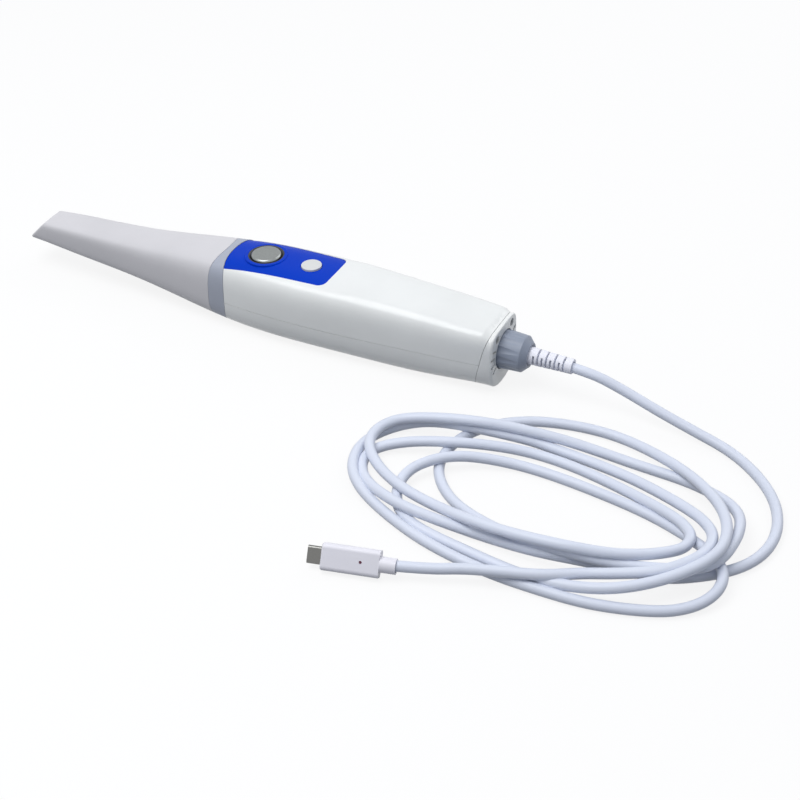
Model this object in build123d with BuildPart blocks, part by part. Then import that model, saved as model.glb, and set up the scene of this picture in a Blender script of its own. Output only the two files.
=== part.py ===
from build123d import *
import math
import os

os.makedirs("parts", exist_ok=True)

# The wand lies along X with its cable at +X. The origin is on the resting face, below the middle of
# the handle. Z is up, and the wand is the same on both sides of the XZ plane.

# Handle and its sections
handle_length = 156.0
handle_width = 45.0
handle_height = 40.0
tip_reach = 135.2
wall = 2.6
seam_gap = 0.2
parting_height = 17.2
parting_tilt = 0.8
rear_round = 1.8

# Each section: place along its length, half width, top, bottom and widest height as shares of the
# half width and height, then the roundness powers of its upper and lower half
handle_section_shares = [
    (0.00, 0.885, 0.973, 0.014, 0.400, 3.7, 3.1),
    (0.26, 1.002, 1.005, -0.018, 0.433, 4.0, 3.1),
    (0.51, 0.967, 1.020, -0.025, 0.468, 4.1, 3.0),
    (0.77, 0.867, 0.975, -0.025, 0.508, 4.2, 2.9),
    (1.00, 0.729, 0.928, -0.020, 0.550, 4.3, 2.6),
]
tip_end_shares = (0.402, 0.714, 0.390, 0.540, 5.0, 4.4)
tip_section_shares = [
    (0.86, 0.444, 0.727, 0.356, 0.525, 4.7, 4.2),
    (0.66, 0.518, 0.762, 0.295, 0.490, 4.4, 3.9),
    (0.45, 0.600, 0.804, 0.225, 0.450, 4.0, 3.5),
]

# Tip sleeve, with its scanning window and mirror
tip_wall = 1.6
tip_end_slope = 46.0
tip_end_round = 1.0
end_wall = 1.5
window_length = 15.0
window_width = 12.6
window_from_end = 4.2
window_round = 3.0
window_clearance = 0.4
mirror_width = 11.6
mirror_length = 9.4
mirror_thickness = 1.0
mirror_round = 1.5
mirror_seat = 0.05

# Nose that the sleeve slides over, and the collar ring on it
nose_clearance = 0.35
nose_wall = 1.6
nose_reach = 66.0
nose_root = 5.2
collar_fit = 0.1
collar_back_place = 4.2
collar_back_bow = 6.6
collar_length = 17.1
collar_front_bow = 6.5
tenon_fit = 0.1
nose_front_wall = 2.5
glass_width = 15.0
glass_height = 13.0
glass_thickness = 1.2
glass_round = 2.5
glass_lip = 1.3
glass_clearance = 0.1

# Optics, all on one axis
optic_height = 20.6
lens_radius = 6.4
lens_step_radius = 7.6
lens_bore_radius = 5.2
lens_front_gap = 4.0
lens_length = 44.0
lens_step_length = 20.0
lens_chamfer = 0.6
frame_tube_wall = 1.3
frame_tube_length = 24.0
frame_place = -6.0
frame_thickness = 2.4
frame_width = 23.0
frame_height = 24.0
frame_foot_length = 34.0
frame_foot_width = 17.0
frame_floor = 7.0
frame_bosses_share = (0.45, 0.90)
boss_radius = 2.6
optic_fit = 0.1
camera_size = 15.0
camera_thickness = 5.0
camera_board_size = 19.0
camera_board_thickness = 1.4
projector_width = 13.0
projector_height = 12.0
projector_length = 22.0
projector_place = 6.0

# Keys and their panel
key_plane_height = 39.9
key_plane_tilt = 1.9
scan_key_place = 17.0
mode_key_place = 44.5
scan_key_radius = 8.2
mode_key_radius = 5.5
scan_key_rise = 0.9
mode_key_rise = 0.1
scan_key_round = 1.5
mode_key_round = 0.4
key_travel = 0.6
key_clearance = 0.3
key_flange = 1.0
key_flange_thickness = 0.8
key_skin = 1.3
key_stem_radius = 1.5
key_slack = 0.1
bezel_radius = 9.7
bezel_fit = 0.1
bezel_slope = 0.9
bezel_depth = 3.2
ring_radius = 11.7
ring_round = 0.5
ring_depth = 1.4
lip_thickness = 1.0
well_wall = 1.6
well_depth = 7.0
panel_thickness = 1.2
panel_sink = 0.25
panel_glue = 0.15
panel_gap = 0.15
panel_front_half_width = 16.2
panel_rear_half_width = 14.4
panel_end = 58.9
panel_rear_bow = 0.6
panel_corner = 4.5

# Boards and switches
board_thickness = 1.6
key_board_drop = 12.0
key_board_margin = 3.0
key_board_width = 22.0
switch_size = 6.0
switch_corner = 0.6
switch_height = 3.4
switch_plunger_radius = 1.75
switch_plunger_height = 0.9
post_radius = 2.0
post_inset = 2.5
main_board_front = 52.0
main_board_back = 138.0
main_board_width = 25.0
main_board_height = 9.0
board_corner = 2.0
chip_size = 12.0
chip_height = 1.4
port_length = 8.0
port_height = 5.0
port_width = 10.0
sink_length = 26.0
sink_width = 22.0
sink_base = 2.0
sink_fin_height = 9.0
sink_fin_thickness = 1.0
sink_fins = 6
sink_from_board_end = 2.0

# End cap, its vents and screws
cap_seam_place = 149.7
cap_seam_lean = 12.6
cap_wall_front = 150.5
cap_spigot = 3.0
cap_spigot_overlap = 1.0
cap_spigot_wall = 1.6
vent_count = 4
vent_spread = 17.0
vent_middle = -3.0
vent_inner = 12.4
vent_outer = 15.4
vent_width = 1.5
cap_screw_half_pitch = 9.2
cap_screw_height = 31.2
cap_screw_head_radius = 1.9
cap_screw_head_length = 1.6
cap_screw_recess_radius = 2.2
cap_screw_recess_depth = 2.4
cap_screw_radius = 1.0
cap_screw_length = 5.5
cap_screw_clearance = 0.1
screw_hexagon_radius = 1.0

# Cable nut, its socket and the strain relief
cable_height = 20.2
nut_radius = 10.4
nut_end_radius = 9.7
nut_recess_depth = 1.6
nut_recess_gap = 0.5
nut_length = 11.6
nut_chamfer = 3.2
nut_mouth_radius = 5.9
nut_back_wall = 2.0
nut_mouth_rim = 0.6
running_gap = 0.1
nut_flutes = 12
nut_flute_radius = 4.0
nut_flute_depth = 0.75
socket_radius = 8.3
socket_wall = 2.0
socket_fit = 0.1
socket_flange_radius = 11.5
socket_flange_thickness = 1.6
socket_reach = 9.0
thread_clearance = 0.1
relief_flange_radius = 7.6
relief_flange_thickness = 1.8
relief_radius = 4.6
relief_end_radius = 3.95
relief_reach = 23.0
relief_slots = 8
relief_slot_width = 1.05
relief_slot_pitch = 2.3
relief_slot_start = 2.2
relief_bridge = 2.0
relief_core_gap = 0.1

# Cord, coil and plug
cord_radius = 2.65
coil_x = 133.0
coil_y = -86.0
coil_length = 196.0
coil_width = 120.0
coil_turn = -8.0
coil_hole_x = 140.0
coil_hole_y = -84.0
coil_hole_length = 108.0
coil_hole_width = 30.0
coil_height = 15.0
coil_round = 4.0
corner_share = 0.45
plug_length = 27.0
plug_width = 12.6
plug_thickness = 6.6
plug_round = 2.2
plug_front_round = 0.8
plug_neck_length = 7.4
plug_neck_radius = 3.7
plug_lean = 35.0
plug_x = 94.8
plug_y = -160.3
plug_heading = 193.2
plug_bore_depth = 6.6
cord_fit = 0.2
shell_width = 8.34
shell_thickness = 2.56
shell_length = 6.65
shell_wall = 0.3
shell_fit_gap = 0.05
shell_root = 3.0
tongue_width = 6.2
tongue_thickness = 0.7
tongue_length = 5.4
light_radius = 0.65
light_depth = 0.8
light_from_neck = 8.6

# Cutting blocks reach this far past what they cut
overrun = 5.0
bulk = 400.0

handle_front = -handle_length / 2
handle_rear = handle_length / 2


def place(from_front):
    """X of a place measured along the handle from its front."""
    return handle_front + from_front


def fullness(power):
    """How far along its side a quarter curve of this roundness holds its control point."""
    return (8 * 0.5 ** (1 / power) - 4) / 3


def section(plane, half_width, top, bottom, widest, upper_power, lower_power):
    """One closed section of the wand: four quarter curves, level at top, bottom and sides."""
    upper = fullness(upper_power)
    lower = fullness(lower_power)
    over = widest + upper * (top - widest)
    under = widest + lower * (bottom - widest)
    with BuildSketch(plane) as face:
        with BuildLine():
            Bezier((half_width, widest), (half_width, over), (upper * half_width, top), (0, top))
            Bezier((0, top), (-upper * half_width, top), (-half_width, over), (-half_width, widest))
            Bezier((-half_width, widest), (-half_width, under), (-lower * half_width, bottom), (0, bottom))
            Bezier((0, bottom), (lower * half_width, bottom), (half_width, under), (half_width, widest))
        make_face()
    return face.sketch


def wand_form(inset, end_inset=0):
    """The whole wand as one smooth body, everywhere smaller by the inset."""
    half_width, top, bottom, widest, upper_power, lower_power = tip_end_shares
    stretch = 1 / math.sin(math.radians(tip_end_slope))
    foot = handle_height * bottom / math.tan(math.radians(tip_end_slope))
    end_plane = Plane(
        origin=(handle_front - tip_reach + end_inset - foot, 0, 0),
        x_dir=(0, 1, 0),
        z_dir=(math.sin(math.radians(tip_end_slope)), 0, -math.cos(math.radians(tip_end_slope))),
    )
    faces = [
        section(
            end_plane,
            handle_width / 2 * half_width - inset,
            handle_height * stretch * top - inset,
            handle_height * stretch * bottom + inset,
            handle_height * stretch * widest,
            upper_power,
            lower_power,
        )
    ]
    rows = [(handle_front - tip_reach * row[0],) + row[1:] for row in tip_section_shares]
    rows += [(place(handle_length * row[0]),) + row[1:] for row in handle_section_shares]
    for x, half_width, top, bottom, widest, upper_power, lower_power in rows:
        faces.append(
            section(
                plane_across(x, 0),
                handle_width / 2 * half_width - inset,
                handle_height * top - inset,
                handle_height * bottom + inset,
                handle_height * widest,
                upper_power,
                lower_power,
            )
        )
    with BuildPart() as form:
        loft(faces)
    return form.part


def plane_across(x, height):
    """A plane across the wand at a height, its X to the +Y side and its Y up."""
    return Plane(origin=(x, 0, height), x_dir=(0, 1, 0), z_dir=(1, 0, 0))


def crossing(x, bulge, half):
    """A line or arc across the wand in plan; the bulge moves its middle along X."""
    if bulge:
        ThreePointArc((x, -half), (x + bulge, 0), (x, half))
    else:
        Line((x, -half), (x, half))


def zone(front, front_bulge, back, back_bulge):
    """A tall block between two such lines across the wand."""
    half = handle_width / 2 + overrun
    with BuildPart() as block:
        with BuildSketch(Plane.XY.offset(-overrun)):
            with BuildLine():
                crossing(front, front_bulge, half)
                Line((front, half), (back, half))
                crossing(back, back_bulge, half)
                Line((back, -half), (front, -half))
            make_face()
        extrude(amount=handle_height + 2 * overrun)
    return block.part


def disc_on(plane, radius, low, high):
    """A solid disc on a plane's axis between two heights."""
    with BuildPart() as disc:
        with BuildSketch(plane.offset(low)):
            Circle(radius)
        extrude(amount=high - low)
    return disc.part


def tube_on(plane, radius, bore, low, high):
    """A tube on a plane's axis between two heights."""
    with BuildPart() as tube:
        with BuildSketch(plane.offset(low)):
            Circle(radius)
            Circle(bore, mode=Mode.SUBTRACT)
        extrude(amount=high - low)
    return tube.part


def save(piece, name):
    """Labels a finished piece and writes its file."""
    piece.part.label = name
    export_step(piece.part, "parts/" + name + ".step")


collar_back = place(collar_back_place)
collar_front = collar_back - collar_length
sleeve_back = collar_front - seam_gap
nose_front = handle_front - nose_reach
shell_fit = wall + tenon_fit
parting_plane = Plane.XY.offset(parting_height).rotated((0, -parting_tilt, 0))
seam_plane = Plane(
    origin=(place(cap_seam_place), 0, cable_height),
    x_dir=(0, 1, 0),
    z_dir=(math.cos(math.radians(cap_seam_lean)), 0, -math.sin(math.radians(cap_seam_lean))),
)
key_plane = Plane(
    origin=(place(scan_key_place), 0, key_plane_height),
    x_dir=(math.cos(math.radians(key_plane_tilt)), 0, math.sin(math.radians(key_plane_tilt))),
    z_dir=(-math.sin(math.radians(key_plane_tilt)), 0, math.cos(math.radians(key_plane_tilt))),
)
key_pitch = (mode_key_place - scan_key_place) / math.cos(math.radians(key_plane_tilt))
mode_plane = key_plane.shift_origin(key_plane.from_local_coords(Vector(key_pitch, 0, 0)))

cavity_form = wand_form(wall)
carcass_form = wand_form(wall / 2)
bore_form = wand_form(shell_fit + nose_wall)

# The outside of the wand, with its edges rounded and its belly flat
with BuildPart() as outer:
    add(wand_form(0))
    fillet(outer.faces().sort_by(Axis.X)[0].edges(), tip_end_round)
    fillet(outer.faces().sort_by(Axis.X)[-1].edges(), rear_round)
    with BuildSketch(Plane.XY.offset(-overrun)):
        Rectangle(bulk, bulk)
    extrude(amount=overrun, mode=Mode.SUBTRACT)
outer_form = outer.part
handle_form = outer_form & zone(collar_back, -collar_back_bow, handle_rear + overrun, 0)

# Lift-off sleeve: a hollow mirror tip with its scanning window in the underside
window_place = handle_front - tip_reach + window_from_end + window_length / 2
window_top = handle_height * tip_end_shares[2] + tip_wall + window_clearance
with BuildPart() as tip_sleeve:
    add(outer_form & zone(handle_front - 2 * tip_reach, 0, sleeve_back, collar_front_bow))
    add(wand_form(tip_wall, end_wall), mode=Mode.SUBTRACT)
    with BuildSketch(Plane.XY):
        with Locations((window_place, 0)):
            RectangleRounded(window_length, window_width, window_round)
    extrude(amount=window_top, mode=Mode.SUBTRACT)
save(tip_sleeve, "tip_sleeve")

# Mirror on the inside of the sloped end
mirror_height = handle_height * (tip_end_shares[1] + tip_end_shares[2]) / 2
mirror_x = handle_front - tip_reach + end_wall + mirror_seat
mirror_x += (mirror_height - handle_height * tip_end_shares[2]) / math.tan(math.radians(tip_end_slope))
mirror_plane = Plane(
    origin=(mirror_x, 0, mirror_height),
    x_dir=(0, 1, 0),
    z_dir=(math.sin(math.radians(tip_end_slope)), 0, -math.cos(math.radians(tip_end_slope))),
)
with BuildPart() as tip_mirror:
    with BuildSketch(mirror_plane):
        RectangleRounded(mirror_width, mirror_length, mirror_round)
    extrude(amount=mirror_thickness)
save(tip_mirror, "tip_mirror")

# Nose that the sleeve slides over, with a root inside the handle
with BuildPart() as nose_barrel:
    add(wand_form(tip_wall + nose_clearance) & zone(nose_front, 0, collar_back - seam_gap, -collar_back_bow))
    root_end = handle_front + nose_root
    add(wand_form(shell_fit) & zone(collar_back - seam_gap, -collar_back_bow, root_end + overrun, 0) & zone(nose_front, 0, root_end, 0))
    add(bore_form & zone(nose_front + nose_front_wall, 0, handle_front + 2 * nose_root, 0), mode=Mode.SUBTRACT)
    with BuildSketch(plane_across(nose_front, optic_height)):
        RectangleRounded(glass_width - 2 * glass_lip, glass_height - 2 * glass_lip, glass_round - glass_lip)
    extrude(amount=nose_front_wall, mode=Mode.SUBTRACT)
    with BuildSketch(plane_across(nose_front, optic_height)):
        RectangleRounded(glass_width, glass_height, glass_round)
    extrude(amount=glass_thickness, mode=Mode.SUBTRACT)
save(nose_barrel, "nose_barrel")

with BuildPart() as front_window:
    with BuildSketch(plane_across(nose_front + glass_clearance, optic_height)):
        RectangleRounded(
            glass_width - 2 * glass_clearance,
            glass_height - 2 * glass_clearance,
            glass_round - glass_clearance,
        )
    extrude(amount=glass_thickness - glass_clearance)
save(front_window, "front_window")

# Ring round the nose between the sleeve and the handle
with BuildPart() as collar_ring:
    add(outer_form & zone(collar_front, collar_front_bow, collar_back - seam_gap, -collar_back_bow))
    add(wand_form(tip_wall + nose_clearance - collar_fit), mode=Mode.SUBTRACT)
save(collar_ring, "collar_ring")

# Keys: bores and wells that go through the roof
key_floor = -key_board_drop
lip_top = -bezel_depth
lip_bottom = lip_top - lip_thickness
flange_top = lip_bottom - key_clearance
flange_bottom = flange_top - key_flange_thickness
stem_end = key_floor + switch_height + switch_plunger_height + key_travel + key_slack
scan_bore = scan_key_radius + key_clearance
mode_bore = mode_key_radius + key_clearance
scan_well_bore = scan_key_radius + key_flange + key_clearance
mode_well_bore = mode_key_radius + key_flange + key_clearance
board_length = key_pitch + switch_size + 2 * key_board_margin
board_plane = key_plane.shift_origin(key_plane.from_local_coords(Vector(key_pitch / 2, 0, 0)))

# Panel outline in plan: it starts under the ring, and its rear edge is bowed between rounded corners
panel_front = collar_back - collar_back_bow - overrun


def panel_prism(growth):
    """A tall block of the panel's plan, larger all round by the growth."""
    with BuildPart() as prism:
        with BuildSketch(Plane.XY.offset(handle_height / 2)) as plan:
            with BuildLine():
                Line((panel_front, -panel_front_half_width), (place(panel_end), -panel_rear_half_width))
                ThreePointArc(
                    (place(panel_end), -panel_rear_half_width),
                    (place(panel_end) + panel_rear_bow, 0),
                    (place(panel_end), panel_rear_half_width),
                )
                Line((place(panel_end), panel_rear_half_width), (panel_front, panel_front_half_width))
                Line((panel_front, panel_front_half_width), (panel_front, -panel_front_half_width))
            make_face()
            fillet(plan.vertices().group_by(Axis.X)[-1], panel_corner)
            offset(amount=growth)
        extrude(amount=handle_height)
    return prism.part


# Blue inlay with a raised ring round the large key
with BuildPart() as panel_ring:
    add(disc_on(key_plane, ring_radius, -ring_depth, 0))
    fillet(panel_ring.edges().filter_by(GeomType.CIRCLE).sort_by(Axis.Z)[-1], ring_round)
with BuildPart() as control_panel:
    add(panel_prism(0) & wand_form(panel_sink) & zone(collar_back, -collar_back_bow, handle_rear, 0))
    add(wand_form(panel_sink + panel_thickness), mode=Mode.SUBTRACT)
    add(panel_ring.part)
    with BuildSketch(key_plane.offset(-bezel_depth)):
        Circle(bezel_radius + bezel_fit)
    extrude(amount=2 * bezel_depth, mode=Mode.SUBTRACT)
    with BuildSketch(mode_plane.offset(-bezel_depth)):
        Circle(mode_bore)
    extrude(amount=2 * bezel_depth, mode=Mode.SUBTRACT)
save(control_panel, "control_panel")

# Dark sloped ring round the large key, seated on the lip of its well
with BuildPart() as key_bezel:
    with BuildSketch(key_plane.offset(-bezel_depth)):
        Circle(bezel_radius)
        Circle(scan_bore, mode=Mode.SUBTRACT)
    extrude(amount=bezel_depth)
    rims = key_bezel.edges().filter_by(GeomType.CIRCLE).group_by(Axis.Z)[-1]
    chamfer(rims.sort_by(SortBy.RADIUS)[0], bezel_slope, bezel_slope)
save(key_bezel, "key_bezel")

# Both keys are caps with a skin, a flange that holds them in, and a stem over the switch
keys = [
    ("scan_key", key_plane, scan_key_radius, scan_key_rise, scan_key_round),
    ("mode_key", mode_plane, mode_key_radius, mode_key_rise, mode_key_round),
]
for name, plane, radius, rise, edge_round in keys:
    with BuildPart() as key:
        add(disc_on(plane, radius, flange_top, rise))
        fillet(key.edges().filter_by(GeomType.CIRCLE).sort_by(Axis.Z)[-1], edge_round)
        add(disc_on(plane, radius + key_flange, flange_bottom, flange_top))
        add(disc_on(plane, radius - key_skin, flange_bottom, rise - key_skin), mode=Mode.SUBTRACT)
        add(disc_on(plane, key_stem_radius, stem_end, rise - key_skin))
    key.part.label = name
    export_step(key.part, "parts/" + name + ".step")

# Board under the keys, and its two switches
with BuildPart() as key_board:
    with BuildSketch(board_plane.offset(key_floor - board_thickness)):
        RectangleRounded(board_length, key_board_width, board_corner)
    extrude(amount=board_thickness)
save(key_board, "key_board")
for name, plane in (("scan_switch", key_plane), ("mode_switch", mode_plane)):
    with BuildPart() as switch:
        with BuildSketch(plane.offset(key_floor)):
            RectangleRounded(switch_size, switch_size, switch_corner)
        extrude(amount=switch_height)
        with BuildSketch(plane.offset(key_floor + switch_height)):
            Circle(switch_plunger_radius)
        extrude(amount=switch_plunger_height)
    switch.part.label = name
    export_step(switch.part, "parts/" + name + ".step")

# Bosses that rise from the floor of the handle
frame_front = place(frame_place)
frame_bosses = [frame_front + frame_foot_length * share for share in frame_bosses_share]
main_board_length = main_board_back - main_board_front
main_board_x = place(main_board_front + main_board_length / 2)

# Top half of the handle, with the panel's recess, the key wells and the posts of the key board
with BuildPart() as upper_shell:
    add(handle_form)
    add(cavity_form, mode=Mode.SUBTRACT)
    add(panel_prism(panel_gap) - wand_form(panel_sink + panel_thickness + panel_glue), mode=Mode.SUBTRACT)
    with BuildPart(mode=Mode.PRIVATE) as fittings:
        for plane, bore in ((key_plane, scan_well_bore), (mode_plane, mode_well_bore)):
            add(disc_on(plane, bore + well_wall, -well_depth, -panel_thickness - wall / 2))
        with BuildSketch(board_plane.offset(key_floor)):
            with GridLocations(board_length - 2 * post_inset, key_board_width - 2 * post_inset, 2, 2):
                Circle(post_radius)
        extrude(amount=key_board_drop - panel_thickness - wall / 2)
    add(fittings.part & carcass_form)
    for plane, bore, well_bore, seat in (
        (key_plane, scan_bore, scan_well_bore, bezel_radius + bezel_fit),
        (mode_plane, mode_bore, mode_well_bore, mode_bore),
    ):
        add(disc_on(plane, well_bore, -2 * well_depth, lip_bottom), mode=Mode.SUBTRACT)
        add(disc_on(plane, bore, -well_depth, well_depth), mode=Mode.SUBTRACT)
        add(disc_on(plane, seat, lip_top, well_depth), mode=Mode.SUBTRACT)
    split(bisect_by=parting_plane.offset(seam_gap / 2), keep=Keep.TOP)
    split(bisect_by=seam_plane, keep=Keep.BOTTOM)
save(upper_shell, "upper_shell")

# Bottom half of the handle, with bosses for the optics frame and the main board
with BuildPart() as lower_shell:
    add(handle_form)
    add(cavity_form, mode=Mode.SUBTRACT)
    with BuildPart(mode=Mode.PRIVATE) as bosses:
        with BuildSketch():
            with Locations(*[(x, 0) for x in frame_bosses]):
                Circle(boss_radius)
        extrude(amount=frame_floor)
        with BuildSketch():
            with Locations((main_board_x, 0)):
                with GridLocations(main_board_length - 4 * post_inset, main_board_width - 2 * post_inset, 2, 2):
                    Circle(boss_radius)
        extrude(amount=main_board_height)
    add(bosses.part & carcass_form)
    split(bisect_by=parting_plane.offset(-seam_gap / 2), keep=Keep.BOTTOM)
    split(bisect_by=seam_plane, keep=Keep.BOTTOM)
save(lower_shell, "lower_shell")
# Lens tube in the nose, with a step that seats in the frame's tube
lens_front = nose_front + nose_front_wall + lens_front_gap
lens_back = lens_front + lens_length
with BuildPart() as lens_barrel:
    add(disc_on(plane_across(lens_front, optic_height), lens_radius, 0, lens_length))
    add(disc_on(plane_across(lens_back - lens_step_length, optic_height), lens_step_radius, 0, lens_step_length))
    chamfer(lens_barrel.edges().filter_by(GeomType.CIRCLE).sort_by(Axis.X)[0], lens_chamfer)
    add(
        disc_on(plane_across(lens_front, optic_height), lens_bore_radius, 0, lens_length),
        mode=Mode.SUBTRACT,
    )
save(lens_barrel, "lens_barrel")

# Metal frame: a tube round the lens, a back plate for the camera, and a foot on two bosses
frame_bore = lens_step_radius + optic_fit
with BuildPart() as optics_frame:
    add(
        tube_on(
            plane_across(frame_front, optic_height),
            frame_bore + frame_tube_wall,
            frame_bore,
            -frame_tube_length,
            0,
        )
    )
    with BuildSketch(plane_across(frame_front, frame_floor)):
        with Locations((0, frame_height / 2)):
            RectangleRounded(frame_width, frame_height, board_corner)
        with Locations((0, optic_height - frame_floor)):
            Circle(frame_bore, mode=Mode.SUBTRACT)
    extrude(amount=frame_thickness)
    with BuildSketch(Plane.XY.offset(frame_floor)):
        with Locations((frame_front + frame_foot_length / 2, 0)):
            Rectangle(frame_foot_length, frame_foot_width)
    extrude(amount=frame_thickness)
save(optics_frame, "optics_frame")

# Image sensor and its board on the back plate
camera_x = frame_front + frame_thickness
with BuildPart() as camera_module:
    with BuildSketch(plane_across(camera_x, optic_height)):
        RectangleRounded(camera_size, camera_size, board_corner)
    extrude(amount=camera_thickness)
    with BuildSketch(plane_across(camera_x + camera_thickness, optic_height)):
        RectangleRounded(camera_board_size, camera_size, board_corner)
    extrude(amount=camera_board_thickness)
save(camera_module, "camera_module")

# Light source on the frame's foot
projector_front = camera_x + camera_thickness + camera_board_thickness + projector_place
with BuildPart() as projector_module:
    with BuildSketch(Plane.XY.offset(frame_floor + frame_thickness)):
        with Locations((projector_front + projector_length / 2, 0)):
            RectangleRounded(projector_length, projector_width, board_corner)
    extrude(amount=projector_height)
save(projector_module, "projector_module")

# Main board on its bosses, with its chip and its port
with BuildPart() as main_board:
    with BuildSketch(Plane.XY.offset(main_board_height)):
        with Locations((main_board_x, 0)):
            RectangleRounded(main_board_length, main_board_width, board_corner)
    extrude(amount=board_thickness)
    with BuildSketch(Plane.XY.offset(main_board_height + board_thickness)):
        with Locations((main_board_x, 0)):
            Rectangle(chip_size, chip_size)
    extrude(amount=chip_height)
    with BuildSketch(Plane.XY.offset(main_board_height + board_thickness)):
        with Locations((place(main_board_front) + port_length, 0)):
            Rectangle(port_length, port_width)
    extrude(amount=port_height)
save(main_board, "main_board")

# Finned heat sink at the rear of the board, in front of the vents
sink_x = place(main_board_back) - sink_from_board_end - sink_length / 2
sink_pitch = (sink_width - sink_fin_thickness) / (sink_fins - 1)
with BuildPart() as heat_sink:
    with BuildSketch(Plane.XY.offset(main_board_height + board_thickness)):
        with Locations((sink_x, 0)):
            Rectangle(sink_length, sink_width)
    extrude(amount=sink_base)
    with BuildSketch(Plane.XY.offset(main_board_height + board_thickness + sink_base)):
        with Locations((sink_x, 0)):
            with GridLocations(sink_length, sink_pitch, 1, sink_fins):
                Rectangle(sink_length, sink_fin_thickness)
    extrude(amount=sink_fin_height)
save(heat_sink, "heat_sink")

# Rear cap with a spigot into the shells, the nut's recess, vents and screw recesses
cap_inside = place(cap_wall_front)
nut_front = handle_rear - nut_recess_depth
screw_places = [(-cap_screw_half_pitch, cap_screw_height), (cap_screw_half_pitch, cap_screw_height)]
rear_face = plane_across(handle_rear, 0)
nut_face = plane_across(handle_rear, cable_height)
with BuildPart() as cap_block:
    add(handle_form)
    split(bisect_by=seam_plane.offset(seam_gap), keep=Keep.TOP)
with BuildPart() as spigot:
    add(wand_form(shell_fit) & zone(0, 0, handle_rear - rear_round, 0))
    split(bisect_by=seam_plane.offset(-cap_spigot), keep=Keep.TOP)
    split(bisect_by=seam_plane.offset(seam_gap + cap_spigot_overlap), keep=Keep.BOTTOM)
with BuildPart() as end_cap:
    add(cap_block.part)
    add(spigot.part)
    add(wand_form(shell_fit + cap_spigot_wall) & zone(0, 0, cap_inside, 0), mode=Mode.SUBTRACT)
    with BuildSketch(nut_face):
        Circle(nut_radius + nut_recess_gap)
    extrude(amount=-nut_recess_depth, mode=Mode.SUBTRACT)
    with BuildSketch(nut_face):
        Circle(socket_radius + socket_fit)
    extrude(amount=-2 * cap_spigot - handle_rear + cap_inside, mode=Mode.SUBTRACT)
    with BuildSketch(nut_face):
        for step in range(vent_count):
            for side in (-1, 1):
                turn = vent_middle + vent_spread * (step - (vent_count - 1) / 2)
                with Locations(Location((0, 0), 0)):
                    with PolarLocations(
                        (vent_inner + vent_outer) / 2, 1, start_angle=90 - side * (90 - turn), rotate=True
                    ):
                        SlotOverall(vent_outer - vent_inner + vent_width, vent_width)
    extrude(amount=-2 * cap_spigot - handle_rear + cap_inside, mode=Mode.SUBTRACT)
    with BuildSketch(rear_face):
        with Locations(*screw_places):
            Circle(cap_screw_recess_radius)
    extrude(amount=-cap_screw_recess_depth, mode=Mode.SUBTRACT)
    with BuildSketch(rear_face):
        with Locations(*screw_places):
            Circle(cap_screw_radius + cap_screw_clearance)
    extrude(amount=-2 * cap_spigot - handle_rear + cap_inside, mode=Mode.SUBTRACT)
save(end_cap, "end_cap")

# Both screws of the cap, with a hexagon socket in each head
screw_seat = plane_across(handle_rear - cap_screw_recess_depth, 0)
with BuildPart() as end_cap_screws:
    with BuildSketch(screw_seat):
        with Locations(*screw_places):
            Circle(cap_screw_head_radius)
    extrude(amount=cap_screw_head_length)
    with BuildSketch(screw_seat):
        with Locations(*screw_places):
            Circle(cap_screw_radius)
    extrude(amount=-cap_screw_length)
    with BuildSketch(screw_seat.offset(cap_screw_head_length)):
        with Locations(*screw_places):
            RegularPolygon(screw_hexagon_radius, 6)
    extrude(amount=-cap_screw_head_length / 2, mode=Mode.SUBTRACT)
save(end_cap_screws, "end_cap_screws")

# Threaded socket that is trapped behind the cap and carries the nut
socket_front = cap_inside - socket_flange_thickness
socket_end = nut_front + socket_reach
with BuildPart() as cable_socket:
    add(
        disc_on(plane_across(cap_inside, cable_height), socket_flange_radius, -socket_flange_thickness, 0)
        & wand_form(shell_fit + cap_spigot_wall + socket_fit)
    )
    add(disc_on(plane_across(cap_inside, cable_height), socket_radius, 0, socket_end - cap_inside))
    add(
        disc_on(plane_across(socket_front, cable_height), socket_radius - socket_wall, 0, bulk),
        mode=Mode.SUBTRACT,
    )
save(cable_socket, "cable_socket")

# Fluted nut that clamps the cable
nut_end = nut_front + nut_recess_depth + nut_length + nut_chamfer
relief_flange_front = socket_end + key_slack
relief_flange_back = relief_flange_front + relief_flange_thickness
with BuildPart() as cable_nut:
    with BuildSketch(Plane.XZ):
        with BuildLine():
            Polyline(
                (nut_front + running_gap, cable_height + socket_radius + thread_clearance),
                (nut_front + running_gap, cable_height + nut_radius),
                (nut_end - nut_chamfer, cable_height + nut_end_radius),
                (nut_end, cable_height + nut_mouth_radius + nut_mouth_rim),
                (nut_end, cable_height + nut_mouth_radius),
                (nut_end - nut_back_wall / 2, cable_height + relief_radius + thread_clearance),
                (relief_flange_back + thread_clearance, cable_height + relief_radius + thread_clearance),
                (relief_flange_back + thread_clearance, cable_height + socket_radius + thread_clearance),
                close=True,
            )
        make_face()
    revolve(axis=Axis((0, 0, cable_height), (1, 0, 0)))
    with BuildSketch(plane_across(nut_front, cable_height)):
        with PolarLocations(nut_radius + nut_flute_radius - nut_flute_depth, nut_flutes):
            Circle(nut_flute_radius)
    extrude(amount=nut_end - nut_front, mode=Mode.SUBTRACT)
save(cable_nut, "cable_nut")

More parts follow.
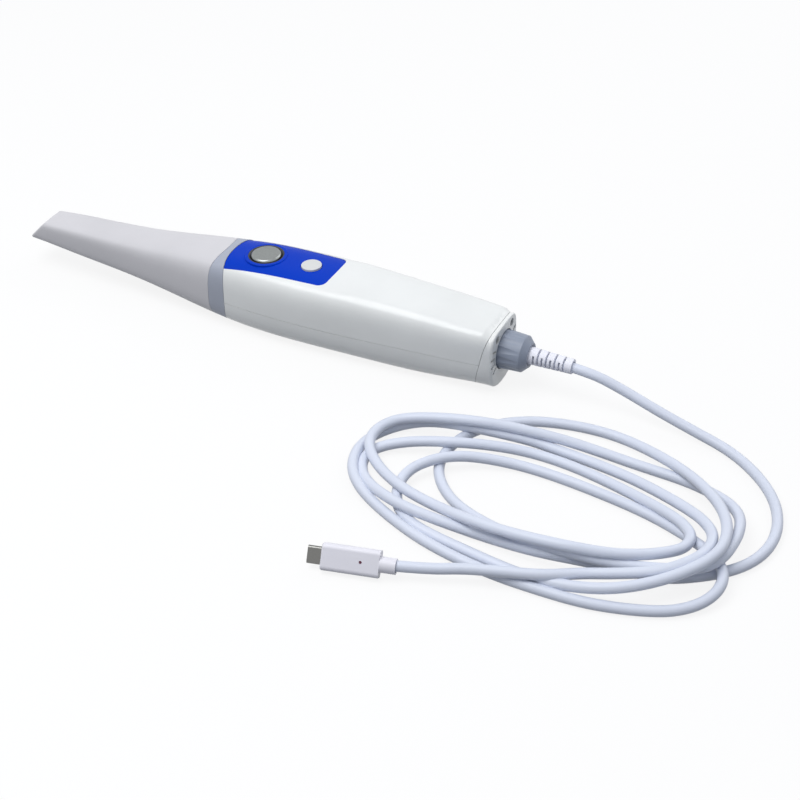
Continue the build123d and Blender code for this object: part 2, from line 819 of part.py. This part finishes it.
# Slotted sleeve on the cable, held by its flange between the socket and the nut
relief_end = nut_end + relief_reach
slot_planes = [nut_end + relief_slot_start + relief_slot_pitch * step for step in range(relief_slots)]
with BuildPart() as strain_relief:
    with BuildSketch(Plane.XZ):
        with BuildLine():
            Polyline(
                (relief_flange_front, cable_height + cord_radius + relief_core_gap),
                (relief_flange_front, cable_height + relief_flange_radius),
                (relief_flange_back, cable_height + relief_flange_radius),
                (relief_flange_back, cable_height + relief_radius),
                (nut_end, cable_height + relief_radius),
                (relief_end, cable_height + relief_end_radius),
                (relief_end, cable_height + cord_radius + relief_core_gap),
                close=True,
            )
        make_face()
    revolve(axis=Axis((0, 0, cable_height), (1, 0, 0)))
    for step, x in enumerate(slot_planes):
        side = 1 if step % 2 else -1
        with BuildSketch(plane_across(x, cable_height)):
            with Locations((0, side * relief_bridge)):
                Rectangle(2 * relief_radius, 2 * relief_radius)
        extrude(amount=relief_slot_width, mode=Mode.SUBTRACT)
save(strain_relief, "strain_relief")

# Cable: down from the strain relief, round to the right and into the coil
lead_route = [
    (92.0, 0.0, 20.2),
    (123.0, 0.0, 20.2),
    (143.0, 0.5, 15.0),
    (163.0, -2.0, 10.0),
    (184.0, -4.5, 5.5),
    (203.0, -10.0, 2.65),
    (220.0, -22.0, 2.65),
    (233.0, -37.0, 2.65),
    (240.0, -54.0, 2.65),
    (241.0, -71.0, 2.65),
    (236.0, -86.0, 2.65),
    (226.0, -98.0, 2.65),
]
# From the coil to the plug's neck
tail_route = [
    (156.0, -139.5, 8.0),
    (139.0, -145.2, 8.0),
    (123.0, -150.9, 7.4),
    (108.0, -157.2, 6.4),
    (88.9, -161.7, 6.2),
]


def cord_tube(route):
    """A tube of straight runs joined by arcs as large as the runs allow."""
    points = [Vector(point) for point in route]
    radii = []
    for before, corner, after in zip(points, points[1:], points[2:]):
        turn = math.radians((corner - before).get_angle(after - corner))
        shorter = min((corner - before).length, (after - corner).length)
        radii.append(corner_share * shorter / math.tan(turn / 2))
    print("radii", [round(radius) for radius in radii])
    with BuildPart() as tube:
        with BuildLine() as path:
            FilletPolyline(*points, radius=radii)
        with BuildSketch(Plane(origin=path.line @ 0, z_dir=path.line % 0)):
            Circle(cord_radius)
        sweep()
    length = sum(edge.length for edge in path.edges())
    share = tube.part.volume / (math.pi * cord_radius**2 * length)
    print("tube length", round(length, 1), "volume as a share of section times length", round(share, 4))
    return tube.part


with BuildPart() as cord_lead:
    add(cord_tube(lead_route))
save(cord_lead, "cord_lead")
with BuildPart() as cord_tail:
    add(cord_tube(tail_route))
save(cord_tail, "cord_tail")

# Outer shape of the loose turns
with BuildPart() as cord_coil:
    with BuildSketch() as plan:
        with Locations(Location((coil_x, coil_y), coil_turn)):
            Ellipse(coil_length / 2, coil_width / 2)
        with Locations(Location((coil_hole_x, coil_hole_y), coil_turn)):
            Ellipse(coil_hole_length / 2, coil_hole_width / 2, mode=Mode.SUBTRACT)
    extrude(amount=coil_height)
    fillet(cord_coil.edges().group_by(Axis.Z)[-1], coil_round)
save(cord_coil, "cord_coil")

# Plug: its overmould leans on one long edge, with the shell at the far end
plug_height = (plug_width / 2 - plug_round) * math.cos(math.radians(plug_lean)) + plug_round
plug_height += (plug_thickness / 2 - plug_round) * math.sin(math.radians(plug_lean))
heading = math.radians(plug_heading)
plug_plane = Plane(
    origin=(plug_x, plug_y, plug_height),
    x_dir=(
        math.sin(math.radians(plug_lean)) * math.sin(heading),
        -math.sin(math.radians(plug_lean)) * math.cos(heading),
        math.cos(math.radians(plug_lean)),
    ),
    z_dir=(math.cos(heading), math.sin(heading), 0),
)
plug_front = plug_neck_length + plug_length
with BuildPart() as plug_housing:
    with BuildSketch(plug_plane.offset(plug_neck_length)):
        RectangleRounded(plug_width, plug_thickness, plug_round)
    extrude(amount=plug_length)
    fillet(plug_housing.faces().filter_by(GeomType.PLANE).sort_by(Axis.X)[0].edges(), plug_front_round)
    with BuildSketch(plug_plane):
        Circle(plug_neck_radius)
    extrude(amount=plug_neck_length)
    with BuildSketch(plug_plane):
        Circle(cord_radius + cord_fit)
    extrude(amount=plug_bore_depth, mode=Mode.SUBTRACT)
    with BuildSketch(plug_plane.offset(plug_front)):
        RectangleRounded(shell_width + 2 * shell_fit_gap, shell_thickness + 2 * shell_fit_gap, shell_thickness / 2)
    extrude(amount=-shell_root, mode=Mode.SUBTRACT)
    light_plane = Plane(
        origin=plug_plane.from_local_coords(Vector(0, -plug_thickness / 2, plug_neck_length + light_from_neck)),
        x_dir=plug_plane.z_dir,
        z_dir=-plug_plane.y_dir,
    )
    with BuildSketch(light_plane):
        Circle(light_radius + shell_fit_gap)
    extrude(amount=-light_depth, mode=Mode.SUBTRACT)
save(plug_housing, "plug_housing")

with BuildPart() as plug_light:
    add(disc_on(light_plane, light_radius, -light_depth, 0))
save(plug_light, "plug_light")

with BuildPart() as plug_shell:
    with BuildSketch(plug_plane.offset(plug_front - shell_root)):
        RectangleRounded(shell_width, shell_thickness, shell_thickness / 2 - shell_fit_gap)
    extrude(amount=shell_root + shell_length)
    with BuildSketch(plug_plane.offset(plug_front - shell_root + shell_wall)):
        RectangleRounded(
            shell_width - 2 * shell_wall,
            shell_thickness - 2 * shell_wall,
            shell_thickness / 2 - shell_wall - shell_fit_gap,
        )
    extrude(amount=shell_root + shell_length, mode=Mode.SUBTRACT)
save(plug_shell, "plug_shell")

with BuildPart() as plug_tongue:
    with BuildSketch(plug_plane.offset(plug_front - shell_root + shell_wall)):
        Rectangle(tongue_width, tongue_thickness)
    extrude(amount=shell_root + tongue_length)
save(plug_tongue, "plug_tongue")
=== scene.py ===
import math

import bpy
import numpy as np
from mathutils import Matrix, Vector


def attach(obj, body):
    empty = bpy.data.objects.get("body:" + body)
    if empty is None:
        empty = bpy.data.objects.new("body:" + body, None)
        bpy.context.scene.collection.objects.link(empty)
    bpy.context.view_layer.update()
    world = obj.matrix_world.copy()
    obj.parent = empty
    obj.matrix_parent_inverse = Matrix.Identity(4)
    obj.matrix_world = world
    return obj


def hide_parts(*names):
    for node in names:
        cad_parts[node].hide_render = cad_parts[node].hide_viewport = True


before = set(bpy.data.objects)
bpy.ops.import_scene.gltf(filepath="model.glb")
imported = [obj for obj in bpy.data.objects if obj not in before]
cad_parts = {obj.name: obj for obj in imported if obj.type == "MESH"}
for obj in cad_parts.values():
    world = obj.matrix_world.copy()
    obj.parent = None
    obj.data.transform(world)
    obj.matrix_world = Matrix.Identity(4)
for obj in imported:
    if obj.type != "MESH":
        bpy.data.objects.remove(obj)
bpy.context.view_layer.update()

MM = 0.001

# The camera stands where the photograph was taken from
CAMERA_AZIMUTH = 26.21
CAMERA_ELEVATION = 36.25
CAMERA_ROLL = 0.36
CAMERA_DISTANCE = 0.8629
CAMERA_TARGET = (0.04499, -0.05443, 0.0129)
CAMERA_LENS = 77.73
CAMERA_SENSOR = 36.0
CAMERA_NEAR = 0.01

# Cable
CORD_RADIUS = 2.65 * MM
CORD_ROUNDING = 6
CORD_STEPS = 5
CORD_ORDER = 3

# Its route to the coil and from the coil to the plug; the first points of the lead hang in the air
LEAD_IN_AIR = 5
LEAD_ROUTE = [
    (0.0920, 0.0000, 0.0202),
    (0.1230, 0.0000, 0.0202),
    (0.1430, 0.0003, 0.0140),
    (0.1630, -0.0024, 0.0088),
    (0.1840, -0.0055, 0.0047),
    (0.2030, -0.0100, 0.00265),
    (0.2200, -0.0220, 0.00265),
    (0.2330, -0.0370, 0.00265),
    (0.2400, -0.0540, 0.00265),
    (0.2410, -0.0710, 0.00265),
    (0.2360, -0.0860, 0.00265),
    (0.2260, -0.0980, 0.00265),
]
TAIL_ROUTE = [
    (0.1560, -0.1395, 0.0080),
    (0.1390, -0.1448, 0.0080),
    (0.1230, -0.1494, 0.0074),
    (0.1080, -0.1560, 0.0064),
    (0.0889, -0.1617, 0.0062),
]

# Loose turns: plan places in millimetres of each half turn, in the order of the cable, with its place
# in the pile; where two cross, the higher one goes over
COIL_TURNS = [
    (3, [(209, -110), (190, -114), (171, -116), (142, -120), (109, -120), (73, -116), (50, -105)]),
    (3.2, [(44, -87), (60, -70), (98, -56), (132, -54)]),
    (4, [(174, -63), (202, -74), (206, -88), (184, -104)]),
    (6, [(151, -111), (114, -113), (77, -107), (52, -94), (39, -76), (46, -56), (79, -42), (121, -37)]),
    (3.6, [(165, -40), (197, -43), (220, -53), (225, -74), (218, -97), (186, -111)]),
    (1, [(152, -114), (123, -113), (96, -103), (80, -84), (79, -61), (90, -41), (113, -27)]),
    (7, [(149, -23), (188, -35), (214, -56), (221, -82), (208, -108), (184, -129)]),
    (2, [(153, -137), (115, -133), (85, -126), (71, -112), (68, -91), (83, -72), (115, -65)]),
    (2.5, [(156, -68), (193, -76), (223, -91), (228, -111), (215, -130), (184, -141)]),
    (5, [(152, -143), (123, -141), (90, -133), (56, -116), (40, -97), (40, -74), (60, -52), (102, -45)]),
    (8, [(128, -46), (170, -52), (209, -67), (216, -85), (203, -106), (184, -118), (166, -127)]),
]
# Steps in millimetres of the worked out places, and how many of them go to one point of the curve
COIL_STEP = 3.0
CONTROL_EVERY = 3
# Rounds of raising, how far away a lower strand is looked for, the distance kept from it, the rise of one
# try, and how steeply a strand falls off again beyond the steps that stay level
PILE_ROUNDS = 2
PILE_REACH = 22.0
PILE_GAP = 4.7
PILE_STEP = 0.1
PILE_SLOPE = 0.4
PILE_FLAT = 1
# Steps along the cable that count as the same strand, and points put in each stretch of the lead
NEAR_ALONG = 14
LEAD_FILL = 8

# The top of the handle runs straight between these places along X, in millimetres, but for a slight bow.
# It is measured from above up to TOP_SEEN, and the pieces change above the parting line only
TOP_START = -4.0
TOP_SEEN = 75.0
TOP_END = 78.0
TOP_END_HEIGHT = 37.1
TOP_BOW = 0.42
TOP_STEP = 0.5
TOP_SMOOTH = 13
TOP_MARGIN = 20.0
TOP_SPLIT = 18.0
TOP_ABOVE = 60.0
TOP_PIECES = ("upper_shell", "end_cap")

# Studio: how bright the sky is near the horizon and overhead, the lamps in watts, and the floor. Floor and
# sky are white where they are seen and throw little light back up
SKY_LOW = -0.3
SKY_DARK = 0.1
SKY_BRIGHT = 0.7
KEY_POWER = 8.2
BACK_POWER = 2.6
KEY_PLACE = (-0.25, -0.35, 1.05)
KEY_TARGET = (0.0, -0.03, 0.0)
BACK_PLACE = (0.45, 0.9, 0.7)
BACK_TARGET = (0.05, 0.0, 0.0)
LAMP_SIZE = 0.8
SKY_COLOUR = (232, 238, 250)
FLOOR_HALF = 3.0
FLOOR_GAP = 0.0002
FLOOR_BOUNCE = (0.22, 0.23, 0.25)
FLOOR_GLOW = 0.86
FLOOR_ROUGH = 0.9
FLOOR_PALE = 0.9

# Finishes: scale, detail and spread of the noises behind them, and depth of the marks in metres
CLOUD_SCALE = 28.0
CLOUD_DETAIL = 4.0
GLOSS_SCALE = 160.0
GLOSS_DETAIL = 5.0
GLOSS_SPREAD = 0.05
GRAIN_SCALE = 2600.0
GRAIN_DETAIL = 2.0
GRAIN_STRENGTH = 0.25
GRAIN_DEPTH = 0.00003
GRAIN_VARIATION = 0.03
PLASTIC_SHINE = 0.5
COAT_ROUGH = 0.12
METAL_SCALE = 900.0
METAL_DARK = 0.92
METAL_LIGHT = 1.06
METAL_SMOOTH = 0.05
METAL_DULL = 0.07
METAL_STRENGTH = 0.12
METAL_DEPTH = 0.00002
GLASS_SCALE = 60.0
GLASS_DARK = 0.97
GLASS_GLOSS_SCALE = 220.0
GLASS_DULL = 0.03
GLASS_CLEAR = 0.9
TRACK_SCALE = 260.0
TRACK_WIDTH = 0.06
TRACK_STRENGTH = 0.2
BOARD_SCALE = 300.0
BOARD_ROUGH = (0.28, 0.42)


def linear(colour):
    """Linear values of a colour given as 0 to 255 display values."""
    values = [channel / 255 for channel in colour]
    return tuple(v / 12.92 if v <= 0.04045 else ((v + 0.055) / 1.055) ** 2.4 for v in values) + (1.0,)


def add_camera():
    """The photograph's view."""
    azimuth = math.radians(CAMERA_AZIMUTH)
    elevation = math.radians(CAMERA_ELEVATION)
    roll = math.radians(CAMERA_ROLL)
    back = Vector(
        (
            math.sin(azimuth) * math.cos(elevation),
            -math.cos(azimuth) * math.cos(elevation),
            math.sin(elevation),
        )
    )
    level = Vector((math.cos(azimuth), math.sin(azimuth), 0.0))
    upright = back.cross(level)
    right = level * math.cos(roll) - upright * math.sin(roll)
    up = upright * math.cos(roll) + level * math.sin(roll)
    data = bpy.data.cameras.new("camera")
    data.sensor_width = CAMERA_SENSOR
    data.lens = CAMERA_LENS
    data.clip_start = CAMERA_NEAR
    camera = bpy.data.objects.new("camera", data)
    bpy.context.scene.collection.objects.link(camera)
    turn = Matrix((right, up, back)).transposed().to_4x4()
    camera.matrix_world = Matrix.Translation(Vector(CAMERA_TARGET) + back * CAMERA_DISTANCE) @ turn
    bpy.context.scene.camera = camera


class Nodes:
    """A short way to build a node material."""

    def __init__(self, name):
        self.material = bpy.data.materials.new(name)
        self.material.use_nodes = True
        self.tree = self.material.node_tree
        self.shader = self.tree.nodes["Principled BSDF"]

    def new(self, kind, **values):
        node = self.tree.nodes.new(kind)
        for key, value in values.items():
            setattr(node, key, value)
        return node

    def join(self, source, target):
        self.tree.links.new(source, target)

    def noise(self, scale, detail=3.0, stretch=(1, 1, 1)):
        place = self.new("ShaderNodeTexCoord")
        mapping = self.new("ShaderNodeMapping")
        mapping.inputs["Scale"].default_value = stretch
        noise = self.new("ShaderNodeTexNoise")
        noise.inputs["Scale"].default_value = scale
        noise.inputs["Detail"].default_value = detail
        self.join(place.outputs["Object"], mapping.inputs["Vector"])
        self.join(mapping.outputs["Vector"], noise.inputs["Vector"])
        return noise.outputs["Fac"]

    def ramp(self, factor, low, high, start=0.3, end=0.7):
        ramp = self.new("ShaderNodeValToRGB")
        ramp.color_ramp.elements[0].position = start
        ramp.color_ramp.elements[0].color = low
        ramp.color_ramp.elements[1].position = end
        ramp.color_ramp.elements[1].color = high
        self.join(factor, ramp.inputs["Fac"])
        return ramp.outputs["Color"]

    def bump(self, height, strength, distance):
        bump = self.new("ShaderNodeBump")
        bump.inputs["Strength"].default_value = strength
        bump.inputs["Distance"].default_value = distance
        self.join(height, bump.inputs["Height"])
        self.join(bump.outputs["Normal"], self.shader.inputs["Normal"])

    def roughness(self, factor, low, high):
        spread = self.new("ShaderNodeMapRange")
        spread.inputs["To Min"].default_value = low
        spread.inputs["To Max"].default_value = high
        self.join(factor, spread.inputs["Value"])
        self.join(spread.outputs["Result"], self.shader.inputs["Roughness"])


def shade(colour, amount):
    """The colour a little darker or lighter."""
    return tuple(min(1.0, channel * amount) for channel in colour[:3]) + (1.0,)


def moulded(name, colour, rough, grain=GRAIN_SCALE, variation=GRAIN_VARIATION, coat=0.0, shine=PLASTIC_SHINE):
    """Moulded plastic: faint cloudy colour, fine grain and uneven gloss."""
    nodes = Nodes(name)
    base = linear(colour)
    cloud = nodes.noise(CLOUD_SCALE, CLOUD_DETAIL)
    tint = nodes.ramp(cloud, shade(base, 1 - variation), shade(base, 1 + variation))
    nodes.join(tint, nodes.shader.inputs["Base Color"])
    nodes.roughness(nodes.noise(GLOSS_SCALE, GLOSS_DETAIL), rough - GLOSS_SPREAD, rough + GLOSS_SPREAD)
    nodes.bump(nodes.noise(grain, GRAIN_DETAIL), GRAIN_STRENGTH, GRAIN_DEPTH)
    nodes.shader.inputs["Specular IOR Level"].default_value = shine
    if coat:
        nodes.shader.inputs["Coat Weight"].default_value = coat
        nodes.shader.inputs["Coat Roughness"].default_value = COAT_ROUGH
    return nodes.material


def metal(name, colour, rough, stretch=(1, 1, 1)):
    """Metal with fine marks of its finishing."""
    nodes = Nodes(name)
    base = linear(colour)
    marks = nodes.noise(METAL_SCALE, stretch=stretch)
    tint = nodes.ramp(marks, shade(base, METAL_DARK), shade(base, METAL_LIGHT))
    nodes.join(tint, nodes.shader.inputs["Base Color"])
    nodes.shader.inputs["Metallic"].default_value = 1.0
    nodes.roughness(marks, rough - METAL_SMOOTH, rough + METAL_DULL)
    nodes.bump(marks, METAL_STRENGTH, METAL_DEPTH)
    return nodes.material


def glass(name, colour, rough):
    """Coated glass with a faint haze."""
    nodes = Nodes(name)
    base = linear(colour)
    haze = nodes.ramp(nodes.noise(GLASS_SCALE), shade(base, GLASS_DARK), base)
    nodes.join(haze, nodes.shader.inputs["Base Color"])
    nodes.roughness(nodes.noise(GLASS_GLOSS_SCALE), rough, rough + GLASS_DULL)
    nodes.shader.inputs["Transmission Weight"].default_value = GLASS_CLEAR
    return nodes.material


def laminate(name):
    """Circuit board: solder mask over copper tracks."""
    nodes = Nodes(name)
    place = nodes.new("ShaderNodeTexCoord")
    tracks = nodes.new("ShaderNodeTexBrick")
    tracks.inputs["Scale"].default_value = TRACK_SCALE
    tracks.inputs["Mortar Size"].default_value = TRACK_WIDTH
    tracks.inputs["Color1"].default_value = linear((18, 92, 52))
    tracks.inputs["Color2"].default_value = linear((14, 80, 46))
    tracks.inputs["Mortar"].default_value = linear((46, 128, 78))
    nodes.join(place.outputs["Object"], tracks.inputs["Vector"])
    nodes.join(tracks.outputs["Color"], nodes.shader.inputs["Base Color"])
    nodes.bump(tracks.outputs["Fac"], TRACK_STRENGTH, GRAIN_DEPTH)
    nodes.roughness(nodes.noise(BOARD_SCALE), *BOARD_ROUGH)
    return nodes.material


def paint(material, *names):
    """Puts a material on the slots of CAD nodes."""
    for name in names:
        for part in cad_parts[name].material_slots:
            part.material = material


def plan_of_turns():
    """Points of the loose turns at even steps, each with its place in the pile."""
    keys = []
    for pile, places in COIL_TURNS:
        keys += [(Vector(place), pile) for place in places]
    lead_end = Vector(LEAD_ROUTE[-1][:2]) / MM
    tail_start = Vector(TAIL_ROUTE[0][:2]) / MM
    spots = [lead_end] + [key[0] for key in keys] + [tail_start]
    points = []
    for index in range(1, len(spots) - 2):
        before, start, end, after = spots[index - 1 : index + 3]
        steps = max(2, round((end - start).length / COIL_STEP))
        for step in range(steps):
            t = step / steps
            point = (
                2 * start
                + (end - before) * t
                + (2 * before - 5 * start + 4 * end - after) * t**2
                + (3 * start - before - 3 * end + after) * t**3
            ) / 2
            points.append((point, keys[index - 1][1]))
    points.append((spots[-2], keys[-1][1]))
    return points


def lay_turns():
    """Places of the turns in metres, each strand raised until it clears those below it."""
    radius = CORD_RADIUS / MM
    turns = plan_of_turns()
    flat = np.array([(*point, radius) for point, _ in turns])
    eye = np.array(bpy.context.scene.camera.matrix_world.translation) / MM
    sight = (eye - flat) / (eye[2] - radius)
    pile = np.array([place for _, place in turns])
    lead = [Vector(point) / MM for point in LEAD_ROUTE[LEAD_IN_AIR:]]
    under = [start.lerp(end, t / LEAD_FILL) for start, end in zip(lead, lead[1:]) for t in range(LEAD_FILL)]
    along = np.arange(len(turns))
    rise = np.zeros(len(turns))
    rise[-1] = TAIL_ROUTE[0][2] / MM - radius
    for _ in range(PILE_ROUNDS):
        for i in np.argsort(pile, kind="stable"):
            lower = (pile < pile[i]) & (abs(along - i) > NEAR_ALONG)
            spots = np.concatenate((np.array(under), flat[lower] + rise[lower, None] * sight[lower]))
            spots = spots[np.linalg.norm(spots - flat[i], axis=1) < PILE_REACH]
            while len(spots) and np.linalg.norm(spots - flat[i] - rise[i] * sight[i], axis=1).min() < PILE_GAP:
                rise[i] += PILE_STEP
        slopes = PILE_SLOPE * np.maximum(0, abs(along[:, None] - along) - PILE_FLAT)
        rise = np.maximum(0.0, (rise - slopes).max(axis=1))
    places = (flat + rise[:, None] * sight)[::CONTROL_EVERY]
    return [tuple(float(value) * MM for value in place) for place in places]


def add_cord(material):
    """The whole cable as one smooth curve from the strain relief to the plug."""
    curve = bpy.data.curves.new("cable", "CURVE")
    curve.dimensions = "3D"
    curve.bevel_depth = CORD_RADIUS
    curve.bevel_resolution = CORD_ROUNDING
    curve.resolution_u = CORD_STEPS
    curve.use_fill_caps = True
    route = LEAD_ROUTE + lay_turns() + TAIL_ROUTE
    spline = curve.splines.new("NURBS")
    spline.points.add(len(route) - 1)
    for point, place in zip(spline.points, route):
        point.co = (*place, 1.0)
    spline.order_u = CORD_ORDER
    spline.use_endpoint_u = True
    curve.materials.append(material)
    cable = bpy.data.objects.new("cable", curve)
    bpy.context.scene.collection.objects.link(cable)
    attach(cable, "handle")
    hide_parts("cord_lead", "cord_coil", "cord_tail")


def add_light(name, place, target, power):
    """A soft square lamp aimed at a point."""
    data = bpy.data.lights.new(name, "AREA")
    data.shape = "SQUARE"
    data.size = LAMP_SIZE
    data.energy = power
    lamp = bpy.data.objects.new(name, data)
    lamp.location = place
    lamp.rotation_euler = (Vector(target) - Vector(place)).to_track_quat("-Z", "Y").to_euler()
    bpy.context.scene.collection.objects.link(lamp)


def seen_share(new, join):
    """One for rays from the camera, for reflections and through glass, and nought for the rest."""
    path = new("ShaderNodeLightPath")
    mirrored = new("ShaderNodeMath")
    mirrored.operation = "MAXIMUM"
    seen = new("ShaderNodeMath")
    seen.operation = "MAXIMUM"
    join(path.outputs["Is Camera Ray"], mirrored.inputs[0])
    join(path.outputs["Is Glossy Ray"], mirrored.inputs[1])
    join(mirrored.outputs[0], seen.inputs[0])
    join(path.outputs["Is Transmission Ray"], seen.inputs[1])
    return seen.outputs[0]


def add_world():
    """White where it is seen; what it lights comes mostly from above."""
    world = bpy.data.worlds.new("studio")
    bpy.context.scene.world = world
    world.use_nodes = True
    tree = world.node_tree
    new = tree.nodes.new
    join = tree.links.new
    direction = new("ShaderNodeTexCoord")
    parts = new("ShaderNodeSeparateXYZ")
    height = new("ShaderNodeMapRange")
    height.inputs["From Min"].default_value = SKY_LOW
    height.inputs["To Min"].default_value = SKY_DARK
    height.inputs["To Max"].default_value = SKY_BRIGHT
    join(direction.outputs["Generated"], parts.inputs[0])
    join(parts.outputs["Z"], height.inputs["Value"])
    plain = tree.nodes["Background"]
    plain.inputs["Color"].default_value = linear(SKY_COLOUR)
    join(height.outputs["Result"], plain.inputs["Strength"])
    white = new("ShaderNodeBackground")
    white.inputs["Color"].default_value = (1, 1, 1, 1)
    mix = new("ShaderNodeMixShader")
    join(seen_share(new, join), mix.inputs[0])
    join(plain.outputs[0], mix.inputs[1])
    join(white.outputs[0], mix.inputs[2])
    join(mix.outputs[0], tree.nodes["World Output"].inputs["Surface"])


def add_floor():
    """A white floor that keeps a faint shadow and throws little light back up."""
    mesh = bpy.data.meshes.new("floor")
    mesh.from_pydata(
        [
            (-FLOOR_HALF, -FLOOR_HALF, 0),
            (FLOOR_HALF, -FLOOR_HALF, 0),
            (FLOOR_HALF, FLOOR_HALF, 0),
            (-FLOOR_HALF, FLOOR_HALF, 0),
        ],
        [],
        [(0, 1, 2, 3)],
    )
    floor = bpy.data.objects.new("floor", mesh)
    floor.location.z = -FLOOR_GAP
    bpy.context.scene.collection.objects.link(floor)
    nodes = Nodes("floor")
    nodes.shader.inputs["Base Color"].default_value = (*FLOOR_BOUNCE, 1)
    nodes.shader.inputs["Roughness"].default_value = FLOOR_ROUGH
    catcher = nodes.new("ShaderNodeBsdfDiffuse")
    catcher.inputs["Color"].default_value = (FLOOR_PALE, FLOOR_PALE, FLOOR_PALE, 1)
    glow = nodes.new("ShaderNodeEmission")
    lit = nodes.new("ShaderNodeMixShader")
    lit.inputs[0].default_value = FLOOR_GLOW
    nodes.join(catcher.outputs[0], lit.inputs[1])
    nodes.join(glow.outputs[0], lit.inputs[2])
    mix = nodes.new("ShaderNodeMixShader")
    nodes.join(seen_share(nodes.new, nodes.join), mix.inputs[0])
    nodes.join(nodes.shader.outputs[0], mix.inputs[1])
    nodes.join(lit.outputs[0], mix.inputs[2])
    nodes.join(mix.outputs[0], nodes.tree.nodes["Material Output"].inputs["Surface"])
    mesh.materials.append(nodes.material)


def add_studio():
    """World, floor and soft lamps."""
    add_world()
    add_floor()
    add_light("key", KEY_PLACE, KEY_TARGET, KEY_POWER)
    add_light("back", BACK_PLACE, BACK_TARGET, BACK_POWER)


def dress_nodes():
    """Materials of the CAD nodes."""
    white = moulded("shell_white", (233, 234, 231), 0.34, coat=0.25)
    paint(white, "upper_shell", "lower_shell", "end_cap")
    paint(moulded("tip_grey", (208, 206, 208), 0.42), "tip_sleeve")
    paint(moulded("collar_grey", (165, 170, 182), 0.42), "collar_ring")
    paint(moulded("panel_blue", (4, 58, 186), 0.36, grain=1800.0, shine=0.06), "control_panel")
    paint(moulded("bezel_dark", (48, 50, 54), 0.45), "key_bezel")
    paint(metal("key_satin", (146, 150, 150), 0.3), "scan_key")
    paint(moulded("key_pale", (212, 212, 210), 0.4), "mode_key")
    paint(moulded("nut_grey", (140, 148, 163), 0.42), "cable_nut")
    paint(moulded("boot_white", (238, 238, 245), 0.5), "strain_relief")
    paint(moulded("plug_white", (232, 230, 236), 0.42), "plug_housing")
    paint(metal("plug_steel", (120, 120, 118), 0.3, (1, 8, 8)), "plug_shell")
    paint(moulded("tongue_black", (24, 24, 26), 0.5), "plug_tongue")
    paint(moulded("light_maroon", (96, 40, 62), 0.25), "plug_light")
    paint(moulded("nose_black", (40, 40, 43), 0.6), "nose_barrel")
    paint(glass("window_glass", (236, 244, 248), 0.03), "front_window")
    paint(metal("mirror_silver", (236, 238, 240), 0.06), "tip_mirror")
    paint(metal("frame_metal", (190, 192, 196), 0.35, (1, 6, 6)), "optics_frame", "heat_sink")
    paint(metal("lens_black", (52, 52, 56), 0.4, (8, 1, 1)), "lens_barrel")
    paint(metal("socket_metal", (180, 182, 186), 0.35, (8, 1, 1)), "cable_socket")
    paint(metal("screw_steel", (150, 152, 156), 0.3), "end_cap_screws")
    paint(laminate("board_green"), "key_board", "main_board")
    paint(moulded("switch_black", (34, 34, 36), 0.5), "scan_switch", "mode_switch")
    paint(moulded("sensor_black", (30, 30, 34), 0.45), "camera_module", "projector_module")


def top_heights(places):
    """Height of the handle's top in millimetres at each place along X, the highest of three neighbours."""
    heights = []
    for place in places:
        start = Vector((place, 0.0, TOP_ABOVE)) * MM
        hits = [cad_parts[name].ray_cast(start, (0, 0, -1)) for name in TOP_PIECES]
        heights.append(max([hit[1].z / MM for hit in hits if hit[0]], default=0.0))
    return np.maximum.reduce([heights, np.roll(heights, 1), np.roll(heights, -1)])


def straighten_top():
    """Copies of the rear pieces in which the top of the handle runs straight, with their normals."""
    places = np.arange(TOP_START, TOP_SEEN, TOP_STEP)
    tops = top_heights(places)
    share = (places - TOP_START) / (TOP_END - TOP_START)
    slope = (TOP_END_HEIGHT - tops[0]) / (TOP_END - TOP_START)
    wanted = tops[0] + slope * (places - TOP_START) + 4 * TOP_BOW * share * (1 - share)
    grid = np.arange(TOP_START - TOP_MARGIN, TOP_END + TOP_MARGIN, TOP_STEP)
    lift = np.interp(grid, [*places, TOP_END], [*(wanted - tops), 0.0])
    window = np.hanning(TOP_SMOOTH)
    lift = np.convolve(lift, window / window.sum(), mode="same")
    steep = np.gradient(lift, TOP_STEP)
    for name in TOP_PIECES:
        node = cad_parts[name]
        mesh = node.data.copy()
        normals = np.empty(len(mesh.loops) * 3)
        mesh.corner_normals.foreach_get("vector", normals)
        normals = normals.reshape(-1, 3)
        points = np.empty(len(mesh.vertices) * 3)
        mesh.vertices.foreach_get("co", points)
        points = points.reshape(-1, 3) / MM
        height = np.interp(points[:, 0], places, wanted) - TOP_SPLIT
        rise = np.clip((points[:, 2] - TOP_SPLIT) / height, 0, 1)
        lifted = np.interp(points[:, 0], grid, lift)
        tilt = np.interp(points[:, 0], grid, steep) * rise
        stretch = 1 + np.where(rise > 0, lifted / height, 0)
        corners = np.empty(len(mesh.loops), dtype=int)
        mesh.loops.foreach_get("vertex_index", corners)
        normals[:, 2] /= stretch[corners]
        normals[:, 0] -= tilt[corners] * normals[:, 2]
        normals /= np.linalg.norm(normals, axis=1)[:, None]
        points[:, 2] += lifted * rise
        mesh.vertices.foreach_set("co", (points * MM).ravel())
        mesh.update()
        mesh.normals_split_custom_set(normals)
        piece = bpy.data.objects.new(name + "_straight", mesh)
        bpy.context.scene.collection.objects.link(piece)
        for new, old in zip(piece.material_slots, node.material_slots):
            new.material = old.material
        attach(piece, "handle")
        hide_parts(name)


bpy.context.scene.view_settings.view_transform = "Standard"
add_camera()
add_cord(moulded("cord_jacket_soft", (216, 221, 233), 0.42, grain=1900.0, variation=0.02))
dress_nodes()
straighten_top()
add_studio()
